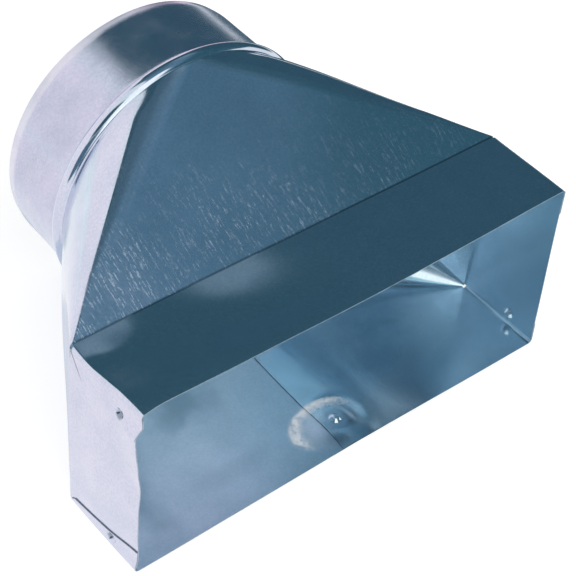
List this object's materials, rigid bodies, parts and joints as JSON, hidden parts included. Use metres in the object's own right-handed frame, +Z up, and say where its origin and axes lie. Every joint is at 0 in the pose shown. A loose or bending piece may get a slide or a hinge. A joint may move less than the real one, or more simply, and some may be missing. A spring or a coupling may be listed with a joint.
{
  "type": "register boot",
  "caption": "Straight register boot in galvanised sheet steel: a rectangular box mouth, a square-to-round transition and a short beaded round collar for duct pipe.",
  "frame": {"origin": "on the floor plane under the middle of the part, halfway from the mouth to the end of the collar", "axes": "+Z up from the flat bottom, +Y along the duct from the box mouth to the round collar, +X across the mouth to the right seen from in front of it"},
  "size_m": [0.26, 0.1924, 0.1562],
  "materials": {
    "galvanised_sheet": "zinc coated, satin with fine streaks along the roll",
    "galvanised_strip": "zinc coated, satin with fine mottling"
  },
  "bodies": {
    "root": {"transition_body": "galvanised_sheet", "round_collar": "galvanised_strip"}
  },
  "joints": []
}
